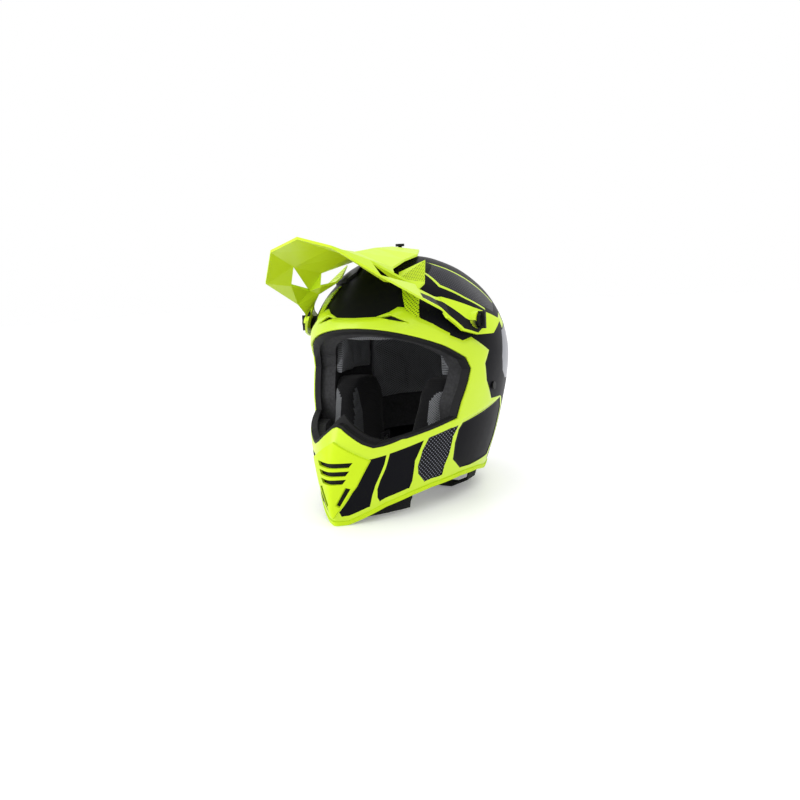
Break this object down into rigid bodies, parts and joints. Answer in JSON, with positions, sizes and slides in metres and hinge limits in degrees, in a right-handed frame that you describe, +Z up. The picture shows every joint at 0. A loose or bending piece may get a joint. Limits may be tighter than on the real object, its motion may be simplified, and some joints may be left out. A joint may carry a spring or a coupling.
{
  "type": "motocross helmet",
  "caption": "Full-face off-road helmet with an open eyeport, a long chin bar, a tilting pointed peak on thumb screws, vents, foam and pad lining, and a D-ring chin strap.",
  "frame": {"origin": "on the surface the helmet stands on, on its middle plane, between the ears", "axes": "+Z up, -Y the way the wearer looks, +X the wearer's left"},
  "size_m": [0.259, 0.3859, 0.316],
  "materials": {
    "pad_grey": "grey mesh lining",
    "foam": "moulded bead foam, black",
    "pad_black": "black knitted lining",
    "vent_plastic": "moulded plastic, fluorescent yellow",
    "gauze": "black woven wire",
    "black_plastic": "matt black",
    "steel": "plain steel",
    "rubber": "matt black rubber",
    "shell_paint": "gloss painted fibre shell, fluorescent yellow and black",
    "peak_plastic": "satin moulded plastic, fluorescent yellow",
    "webbing": "black webbing",
    "black_metal": "black"
  },
  "bodies": {
    "helmet": {"brow_pad": "pad_grey", "cheek_base_left": "foam", "cheek_base_right": "foam", "cheek_pad_left": "pad_black", "cheek_pad_right": "pad_black", "chin_curtain": "pad_black", "chin_liner": "foam", "chin_vent": "vent_plastic", "chin_vent_gauze": "gauze", "crown_pad": "pad_grey", "crown_vent_left": "black_plastic", "crown_vent_right": "black_plastic", "eyeport_trim": "rubber", "forehead_vent_left": "vent_plastic", "forehead_vent_right": "vent_plastic", "impact_liner": "foam", "neck_roll": "pad_black", "neck_vent_left": "black_plastic", "neck_vent_right": "black_plastic", "nose_guard": "rubber", "outer_shell": "shell_paint", "peak_centre_boss": "black_plastic", "peak_centre_nut": "steel", "peak_side_boss_left": "black_plastic", "peak_side_boss_right": "black_plastic", "peak_side_nut_left": "steel", "peak_side_nut_right": "steel", "rear_pad": "pad_grey", "rear_spoiler": "black_plastic", "rear_vent_left": "black_plastic", "rear_vent_right": "black_plastic", "rim_trim": "rubber", "side_pad_left": "pad_grey", "side_pad_right": "pad_grey", "strap_left": "webbing", "strap_right": "webbing", "strap_rivet_left": "steel", "strap_rivet_right": "steel", "strap_snap": "black_metal"},
    "peak": {"peak": "peak_plastic"},
    "side_screw_left": {"peak_side_screw_left": "black_plastic"},
    "side_screw_right": {"peak_side_screw_right": "black_plastic"},
    "centre_screw": {"peak_centre_screw": "black_plastic"},
    "d_ring_inner": {"d_ring_inner": "steel"},
    "d_ring_outer": {"d_ring_outer": "steel"}
  },
  "joints": [
    {"name": "peak_tilt", "type": "hinge", "parent": "helmet", "child": "peak", "pos_m": [0, -0.028, 0.217], "axis": [-1, 0, 0], "range_deg": [0, 5]},
    {"name": "side_screw_left_turn", "type": "hinge", "parent": "helmet", "child": "side_screw_left", "pos_m": [0.12, -0.028, 0.217], "axis": [1, 0, 0], "continuous": true},
    {"name": "side_screw_right_turn", "type": "hinge", "parent": "helmet", "child": "side_screw_right", "pos_m": [-0.12, -0.028, 0.217], "axis": [-1, 0, 0], "continuous": true},
    {"name": "centre_screw_turn", "type": "hinge", "parent": "helmet", "child": "centre_screw", "pos_m": [0, 0.012, 0.309], "axis": [0, 0, 1], "continuous": true},
    {"name": "d_ring_inner_swing", "type": "hinge", "parent": "helmet", "child": "d_ring_inner", "pos_m": [0.0313, 0.016, 0.05], "axis": [0, 1, 0], "range_deg": [-45, 0]},
    {"name": "d_ring_outer_swing", "type": "hinge", "parent": "helmet", "child": "d_ring_outer", "pos_m": [0.0352, 0.016, 0.05], "axis": [0, 1, 0], "range_deg": [0, 15]}
  ]
}
